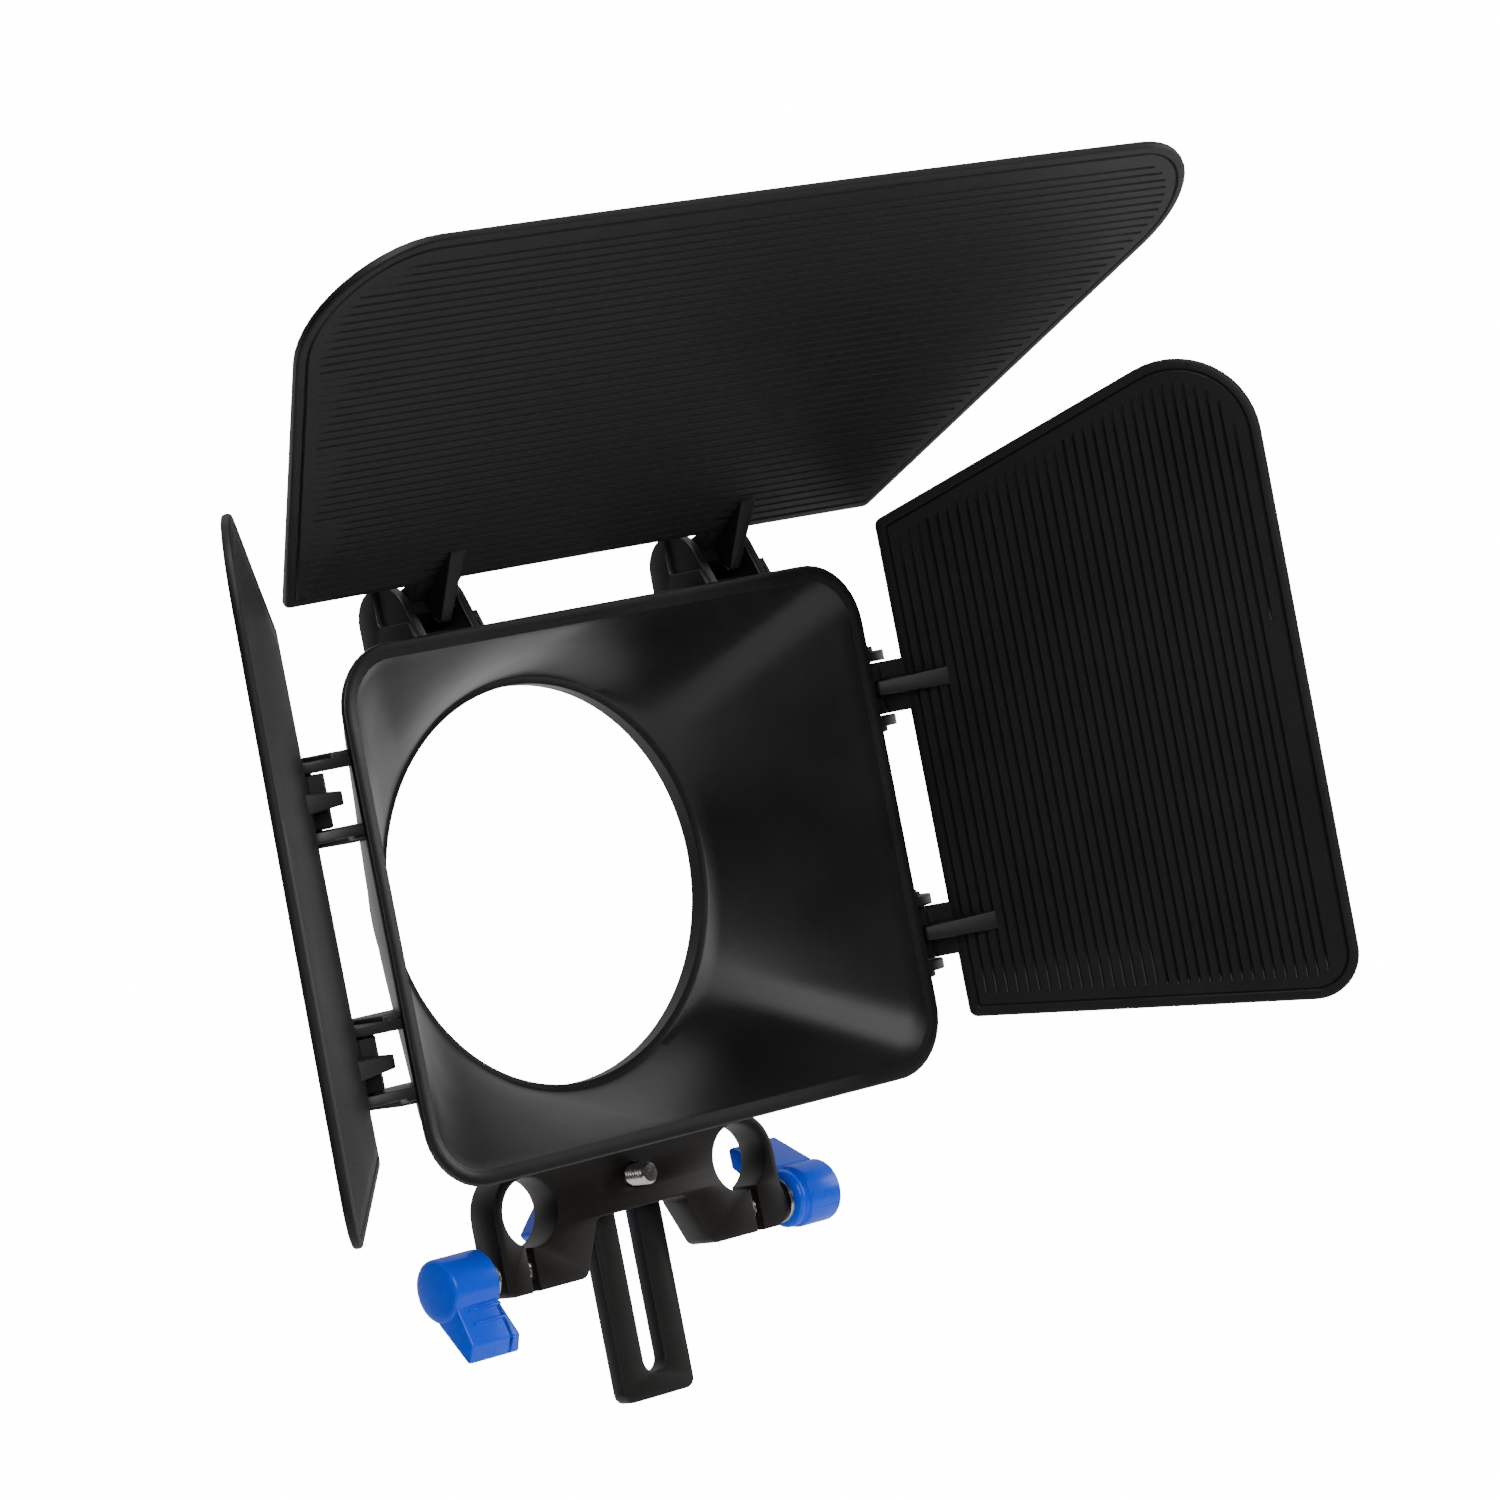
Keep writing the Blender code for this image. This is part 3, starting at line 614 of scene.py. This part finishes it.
def left_bend(u, v):
    return 1.0 * (v - 17.0) / 76.0 * (u + 11.3) / 99.0


build_flag("top_flag_leaf", "top_flag", "top_leaf", Vector((0, PIN_Y, RIM_Z + H2 + PIN_OUT)), Vector((1, 0, 0)), Vector((0, 0, 1)),
           TOP_ANGLE, TOP_HINGE_V, [(0, -81.5), (110.8, -131.7), (110.8, 131.7), (0, 81.5)], [2.0, 23.0, 23.0, 2.0],
           (-TOP_HINGE_X, TOP_HINGE_X), top_bend)
SIDE = [(0, 131.0 - RIM_Z), (0, 19.3 - RIM_Z), (87.5, 8.1 - RIM_Z), (88.4, 160.8 - RIM_Z)]
for nm, sx, ang, bend in (("right", 1, RIGHT_ANGLE, no_bend), ("left", -1, LEFT_ANGLE, left_bend)):
    build_flag(nm + "_flag_leaf", nm + "_flag", nm + "_leaf", Vector((sx * (W2 + PIN_OUT), PIN_Y, RIM_Z)), Vector((0, 0, 1)),
               Vector((sx, 0, 0)), ang, HINGE_V, SIDE, [2.0, 2.0, 10.0, 19.0], (-SIDE_HINGE_DZ, SIDE_HINGE_DZ), bend)

# ---------------------------------------------------------------- hinge pins
PINS = [("top_left", Vector((-TOP_HINGE_X, PIN_Y, 128.5)), Vector((1, 0, 0))), ("top_right", Vector((TOP_HINGE_X, PIN_Y, 128.5)), Vector((1, 0, 0)))]
for side_, sx in (("right", 1), ("left", -1)):
    PINS += [(side_ + "_upper", Vector((sx * 77.3, PIN_Y, 94.5)), Vector((0, 0, 1))),
             (side_ + "_lower", Vector((sx * 77.3, PIN_Y, 39.5)), Vector((0, 0, 1)))]
for nm, c, ax in PINS:
    bm = bmesh.new()
    closed_turned(bm, [(1.1, -7.7), (1.4, -7.6), (PIN_R, -7.3), (PIN_R, 7.3), (1.4, 7.6), (1.1, 7.7)], ax, Vector((0, 1, 0)), c, 32)
    finish(nm + "_pin", bm, M_PIN, "carriage", nm + "_hinge_pin")

# ---------------------------------------------------------------- clamp block
right = (arc(11.2, -6.85, 2.0, 90, 8, 6) + [(13.2, -6.6)]
         + rounded([(13.2, -6.6), (17.95, BLOCK_BOTTOM), (30.0, BLOCK_BOTTOM)], [0, 2.3, 0], 8)[1:-1])
left = [(-x, z) for x, z in reversed(right)]
h = SLIT_W / 2
dz_out = math.sqrt(BORE_R ** 2 - (SLIT_X - 30 + h) ** 2)
dz_in = math.sqrt(BORE_R ** 2 - (SLIT_X - 30 - h) ** 2)
bore = arc(30, 0, BORE_R, math.degrees(math.atan2(-dz_in, SLIT_X - 30 - h)), math.degrees(math.atan2(-dz_out, SLIT_X - 30 + h)) - 360, 110)
lobe = arc(30, 0, LOBE_R, 0, 90, 30)
right_side = ([(SLIT_X - h, BLOCK_BOTTOM)] + bore + [(SLIT_X + h, BLOCK_BOTTOM), (37.6, BLOCK_BOTTOM)]
              + arc(BOSS_X - 4.2, -12.4, 4.2, -78, 30, 18) + [(40.1, -8.6), (BLOCK_HALF, -7.6), (BLOCK_HALF, -1.0)] + lobe[1:])
left_side = ([(-x, z) for x, z in reversed(lobe[1:])] + [(-BLOCK_HALF, -1.0)]
             + arc(-BLOCK_HALF + 1.6, BLOCK_BOTTOM + 1.6, 1.6, 180, 270, 5)
             + [(-(SLIT_X + h), BLOCK_BOTTOM)] + [(-x, z) for x, z in reversed(bore)] + [(-(SLIT_X - h), BLOCK_BOTTOM)])
bm = bmesh.new()
slab(bm, [left + right + right_side + left_side, circle(0, SCREW_Z, STUD_HOLE_R, 40)], xz, fillet(0.0, BLOCK_T, 0.3, 2))
bmesh.ops.triangulate(bm, faces=bm.faces)
block = finish("rod_clamp_block", bm, M_BLOCK, "clamp", "clamp_block", 30)
bm = bmesh.new()
for x0, x1 in ((21.5, 45.0), (-45.0, -21.5)):
    slab(bm, [circle(CLAMP_Y, CLAMP_Z, STUD_HOLE_R, 32)], yz, [(0, x0), (0, x1)])
slab(bm, [[(-10.35, 5.2), (10.35, 5.2), (10.35, 12.0), (-10.35, 12.0)]], xy, [(0, -30.0), (0, 20.0)])
cut(block, bm)
for p in block.data.polygons:
    p.use_smooth = True
block.data.set_sharp_from_angle(angle=math.radians(30))

# ---------------------------------------------------------------- height plate
bm = bmesh.new()
slab(bm, [rounded([(-10, -46.2), (10, -46.2), (10, 18.6), (-10, 18.6)], [2.4, 2.4, 1.5, 1.5], 8),
          arc(0, 2.2, 3.0, 0, 180, 20) + arc(0, -37.8, 3.0, 180, 360, 20),
          circle(-6.0, 14.6, 1.8, 32), circle(6.0, 14.6, 1.8, 32)], xz, fillet(PLATE_Y0, PLATE_Y1, 0.35, 3))
finish("slotted_height_plate", bm, M_PLATE, "carriage", "height_plate", 30)

for nm, sx in (("left", -1), ("right", 1)):
    bm = bmesh.new()
    c, ax, up = Vector((sx * 6.0, 0, 14.6)), Vector((0, 1, 0)), Vector((0, 0, 1))
    rings = turned(bm, [(2.2, 3.0), (2.6, 3.1), (2.85, 3.4), (2.9, 3.7), (2.9, 4.9), (2.7, 5.2), (1.5, 5.25), (1.5, 13.2), (1.2, 13.6)], ax, up, c, 36)
    bm.faces.new(rings[-1])
    # hexagon socket in the head
    hexr = 1.45
    w = ax.cross(up)
    hx = []
    for i in range(36):
        th = 2 * math.pi * i / 36
        q = (th + math.pi / 6) % (math.pi / 3) - math.pi / 6
        hx.append(hexr * math.cos(math.pi / 6) / math.cos(q))
    rim = [bm.verts.new(c + ax * 3.0 + (up * math.cos(2 * math.pi * i / 36) + w * math.sin(2 * math.pi * i / 36)) * hx[i]) for i in range(36)]
    low = [bm.verts.new(c + ax * 4.4 + (up * math.cos(2 * math.pi * i / 36) + w * math.sin(2 * math.pi * i / 36)) * hx[i]) for i in range(36)]
    for i in range(36):
        j = (i + 1) % 36
        bm.faces.new((rings[0][i], rings[0][j], rim[j], rim[i]))
        bm.faces.new((rim[i], rim[j], low[j], low[i]))
    bm.faces.new(low)
    finish(nm + "_socket_screw", bm, M_STEEL, "carriage", nm + "_plate_screw")


# ---------------------------------------------------------------- knobs
def threaded(bm, origin, axis, up, z0, z1, r=STUD_R, pitch=0.8, depth=0.42, n=28, per=8):
    """Threaded rod: a helical ridge on a cylinder, with tapered ends."""
    w = axis.cross(up)
    steps = int((z1 - z0) / pitch * per)
    rings = []
    for k in range(steps + 1):
        z = z0 + (z1 - z0) * k / steps
        end = min(z - z0, z1 - z)
        ring = []
        for i in range(n):
            th = 2 * math.pi * i / n
            ph = (z / pitch - i / n) % 1.0
            tri = abs(2 * ph - 1)
            rr = r - depth * max(0.0, min(1.0, 1.25 * tri - 0.1))
            rr = min(rr, r - 0.6 + end * 1.0) if end < 0.6 else rr
            ring.append(bm.verts.new(origin + axis * z + (up * math.cos(th) + w * math.sin(th)) * rr))
        rings.append(ring)
    for r0, r1 in zip(rings, rings[1:]):
        for i in range(n):
            j = (i + 1) % n
            bm.faces.new((r0[i], r0[j], r1[j], r1[i]))
    bm.faces.new(rings[0])
    bm.faces.new(rings[-1])


def clip_tip(poly, radii, u0):
    """The part of a wing's outline beyond u0, with its corner radii."""
    out, rad = [], []
    n = len(poly)
    for i in range(n):
        p, q = poly[i], poly[(i + 1) % n]
        if p[0] >= u0:
            out.append(p)
            rad.append(radii[i])
        if (p[0] - u0) * (q[0] - u0) < 0:
            k = (u0 - p[0]) / (q[0] - p[0])
            out.append((u0, p[1] + (q[1] - p[1]) * k))
            rad.append(0)
    return out, rad


def build_knob(prefix, body, washer_body, origin, axis, wing_dir, wing, radii, flare, washer0, washer1, face, stud_far, stud_node, grips, collar):
    up = wing_dir.normalized()
    side = axis.cross(up)
    bm = bmesh.new()
    L = KNOB_L
    R = HUB_R
    prof = [(STUD_HOLE_R, face + 8.9), (STUD_HOLE_R, face + 0.2), (STUD_HOLE_R + 0.3, face)]
    if collar:
        prof += [(5.7, face), (6.1, face + 0.15), (6.4, face + 0.5), (6.5, face + 1.2), (6.35, face + 1.75), (5.95, face + 2.1), (5.85, face + 2.45),
                 (6.1, face + 2.75), (6.75, face + 3.0), (R - 0.05, face + 3.3), (R, face + 3.7)]
    else:
        prof += [(R - 0.6, face), (R - 0.25, face + 0.1), (R - 0.05, face + 0.3), (R, face + 0.6)]
    prof += [(R, face + L - 1.3), (R - 0.1, face + L - 0.95), (R - 0.35, face + L - 0.6), (R - 0.9, face + L - 0.34), (5.0, face + L - 0.18), (3.0, face + L - 0.05), (1.5, face + L)]
    closed_turned(bm, prof, axis, up, origin, 96)

    def place(u, v, t):
        return origin + up * u + side * v + axis * t
    slab(bm, [rounded(wing, radii, 8)], place, fillet(face + 0.2, face + L - 0.8, 0.3, 4, 0.6))
    if flare:
        tip, tip_radii = clip_tip(wing, radii, 7.4)

        def slope(u, v, t):
            if t < face + 1.0:
                t -= flare * (u - 7.4) / 9.1
            return place(u, v, t)
        slab(bm, [rounded(tip, tip_radii, 8)], slope, [(0.45, face + 0.2), (0.15, face + 0.3), (0.0, face + 0.6), (0.0, face + 1.4)])
    # raised grip ribs on the stepped broad side of the wing, from a dot to the inner end
    for (a0, a1), s in grips:
        a0, a1 = Vector(a0), Vector(a1)
        run = (a1 - a0).normalized()
        nrm = Vector((-run.y, run.x)) * s
        for f in (0.14, 0.50):
            at = a0 + (a1 - a0) * f

            def rib(p, q, t, at=at, run=run, nrm=nrm):
                w = at + run * p + nrm * q
                return place(w.x, w.y, t)
            half = [(0.40 * math.cos(math.pi * i / 8), 0.34 * math.sin(math.pi * i / 8)) for i in range(9)]
            slab(bm, [[(0.40, -0.4)] + half + [(-0.40, -0.4)]], rib, [(0.2, face + 0.2), (0.0, face + 0.5), (0.0, face + L - 5.0), (0.2, face + L - 4.7)])
            slab(bm, [[(0.40, -0.4)] + half + [(-0.40, -0.4)]], rib, [(0.3, face + L - 4.3), (0.0, face + L - 4.1), (0.0, face + L - 3.7), (0.3, face + L - 3.5)])
    # moulding seam along the hub, opposite the wing
    def seam(p, q, t):
        return place(-R + p, q, t)
    slab(bm, [[(0.3, -0.11), (0.3, 0.11), (-0.06, 0.09), (-0.06, -0.09)]], seam, [(0, face + 3.8), (0, face + L - 1.0)])
    finish(prefix + "_moulding", bm, M_KNOB, body, prefix, 34)
    bm = bmesh.new()
    threaded(bm, origin, axis, up, stud_far, face + 8.6)
    finish(prefix + "_thread", bm, M_STEEL, body, stud_node, 30)
    bm = bmesh.new()
    e = 0.15
    ring_turned(bm, [(STUD_HOLE_R, washer0), (WASHER_R - e, washer0), (WASHER_R, washer0 + e), (WASHER_R, washer1 - e), (WASHER_R - e, washer1),
                     (STUD_HOLE_R, washer1)], axis, up, origin, 72)
    finish(prefix + "_plain_washer", bm, M_STEEL, washer_body, prefix + "_washer", 30)


WING = [(1.5, 3.5), (14.6, -1.2), (16.5, -5.8), (4.4, -5.9), (1.5, -5.0)]
RIGHT_WING = [(u + (0.6 if u > 10 else 0.0), -v) for u, v in reversed(WING)]
build_knob("left_clamp_knob", "left_clamp_screw", "left_clamp_washer", Vector((-BLOCK_HALF, CLAMP_Y, CLAMP_Z)), Vector((-1, 0, 0)),
           Vector((0, -0.637, -0.771)), WING, [0, 0.9, 0.9, 0.8, 0], 2.1, 1.9, 3.4, 3.7, -17.0, "left_clamp_stud",
           [(((6.4, 1.9), (14.2, -1.0)), 1)], False)
build_knob("right_clamp_knob", "right_clamp_screw", "right_clamp_washer", Vector((BOSS_X, CLAMP_Y, CLAMP_Z)), Vector((1, 0, 0)),
           Vector((0, 0.88, 0.47)), RIGHT_WING, [0, 0.8, 0.9, 0.9, 0], 2.0, 0.3, 1.3, 1.6, -18.3, "right_clamp_stud",
           [(((6.4, -1.9), (14.8, 1.0)), -1)], True)
build_knob("height_lock_knob", "height_screw", "height_washer", Vector((0, PLATE_Y1, SCREW_Z)), Vector((0, 1, 0)),
           Vector((-0.766, 0, -0.643)), [(1.5, -3.6), (16.8, -2.2), (16.8, 2.2), (1.5, 3.6)], [0, 0.9, 0.9, 0], 0.0, 0.3, 1.9, 4.6, -14.8,
           "height_lock_stud", [(((7.0, -3.1), (15.6, -2.3)), -1)], True)

# ---------------------------------------------------------------- stage, light, camera
bm = bmesh.new()
closed_turned(bm, [(0.85, -0.02), (0.85, -0.0005), (0.849, 0.0)], Vector((0, 0, 1)), Vector((1, 0, 0)), Vector((0, 0, -0.34)), 96)
me = bpy.data.meshes.new("floor")
bm.to_mesh(me)
bm.free()
floor = bpy.data.objects.new("floor", me)
bpy.context.scene.collection.objects.link(floor)
mf, nt, b = nodes_of("pale_floor")
fn = noise(nt, 3, 2, 0.5)
fc = ramp(nt, fn.outputs["Fac"], [(0.3, (0.82, 0.82, 0.83)), (0.7, (0.86, 0.86, 0.86))])
nt.links.new(fc.outputs["Color"], b.inputs["Base Color"])
b.inputs["Roughness"].default_value = 0.8
floor.data.materials.append(mf)


def area_light(name, pos, target, size, power, color=(1, 1, 1), size_y=None):
    ld = bpy.data.lights.new(name, "AREA")
    ld.energy = power
    ld.color = color
    ld.size = size
    if size_y:
        ld.shape = "RECTANGLE"
        ld.size_y = size_y
    ob = bpy.data.objects.new(name, ld)
    ob.location = pos
    ob.rotation_euler = (Vector(target) - Vector(pos)).to_track_quat("-Z", "Y").to_euler()
    bpy.context.scene.collection.objects.link(ob)
    return ob


world = bpy.data.worlds.new("studio")
bpy.context.scene.world = world
world.use_nodes = True
wn = world.node_tree
for nd in list(wn.nodes):
    wn.nodes.remove(nd)
out = wn.nodes.new("ShaderNodeOutputWorld")
seen = wn.nodes.new("ShaderNodeBackground")
seen.inputs["Color"].default_value = (1, 1, 1, 1)
seen.inputs["Strength"].default_value = 16.0
lit = wn.nodes.new("ShaderNodeBackground")
lit.inputs["Color"].default_value = (1, 1, 1, 1)
tc = wn.nodes.new("ShaderNodeTexCoord")
dot = wn.nodes.new("ShaderNodeVectorMath")
dot.operation = "DOT_PRODUCT"
dot.inputs[1].default_value = (0.656, 0.754, 0.0)
wn.links.new(tc.outputs["Generated"], dot.inputs[0])
mr = wn.nodes.new("ShaderNodeMapRange")
mr.interpolation_type = "SMOOTHSTEP"
mr.inputs["From Min"].default_value = -0.1
mr.inputs["From Max"].default_value = 0.7
mr.inputs["To Min"].default_value = 0.03
mr.inputs["To Max"].default_value = 1.0
wn.links.new(dot.outputs["Value"], mr.inputs["Value"])
sep = wn.nodes.new("ShaderNodeSeparateXYZ")
wn.links.new(tc.outputs["Generated"], sep.inputs[0])
top = wn.nodes.new("ShaderNodeMapRange")
top.interpolation_type = "SMOOTHSTEP"
top.inputs["From Min"].default_value = 0.15
top.inputs["From Max"].default_value = 0.9
top.inputs["To Min"].default_value = 0.0
top.inputs["To Max"].default_value = 0.5
wn.links.new(sep.outputs["Z"], top.inputs["Value"])
# the backdrop is brighter low down, where it sweeps into the table
low = wn.nodes.new("ShaderNodeMapRange")
low.inputs["From Min"].default_value = -0.35
low.inputs["From Max"].default_value = 0.35
low.inputs["To Min"].default_value = 1.3
low.inputs["To Max"].default_value = 0.35
wn.links.new(sep.outputs["Z"], low.inputs["Value"])
back = wn.nodes.new("ShaderNodeMath")
back.operation = "MULTIPLY"
wn.links.new(mr.outputs["Result"], back.inputs[0])
wn.links.new(low.outputs["Result"], back.inputs[1])
both = wn.nodes.new("ShaderNodeMath")
both.operation = "ADD"
wn.links.new(back.outputs[0], both.inputs[0])
wn.links.new(top.outputs["Result"], both.inputs[1])
wn.links.new(both.outputs[0], lit.inputs["Strength"])
lp = wn.nodes.new("ShaderNodeLightPath")
mx = wn.nodes.new("ShaderNodeMixShader")
wn.links.new(lp.outputs["Is Camera Ray"], mx.inputs["Fac"])
wn.links.new(lit.outputs[0], mx.inputs[1])
wn.links.new(seen.outputs[0], mx.inputs[2])
wn.links.new(mx.outputs[0], out.inputs["Surface"])

area_light("overhead_softbox", (-0.25, -0.75, 1.45), (0, -0.02, 0.06), 0.9, 14)
area_light("right_softbox", (1.5, -0.7, 0.4), (0, -0.02, 0.06), 0.8, 9)
area_light("front_softbox", (-0.75, -1.75, 0.75), (0, -0.02, 0.03), 1.0, 20)

cam = bpy.data.cameras.new("camera")
cam.lens = 155.354
cam.sensor_width = 36.0
cam.clip_start = 0.01
cam.clip_end = 50
co = bpy.data.objects.new("camera", cam)
right_v = Vector((0.7387082833743928, -0.6460757920671472, -0.192083687435623))
up_v = Vector((0.15361113173459293, -0.11610902117728622, 0.9812860517751539))
back_v = Vector((-0.6562878120773502, -0.7543903274207994, 0.01347373788760392))
co.matrix_world = Matrix(((right_v.x, up_v.x, back_v.x, -0.88274), (right_v.y, up_v.y, back_v.y, -1.078549),
                          (right_v.z, up_v.z, back_v.z, 0.1058875), (0, 0, 0, 1)))
bpy.context.scene.collection.objects.link(co)
bpy.context.scene.camera = co
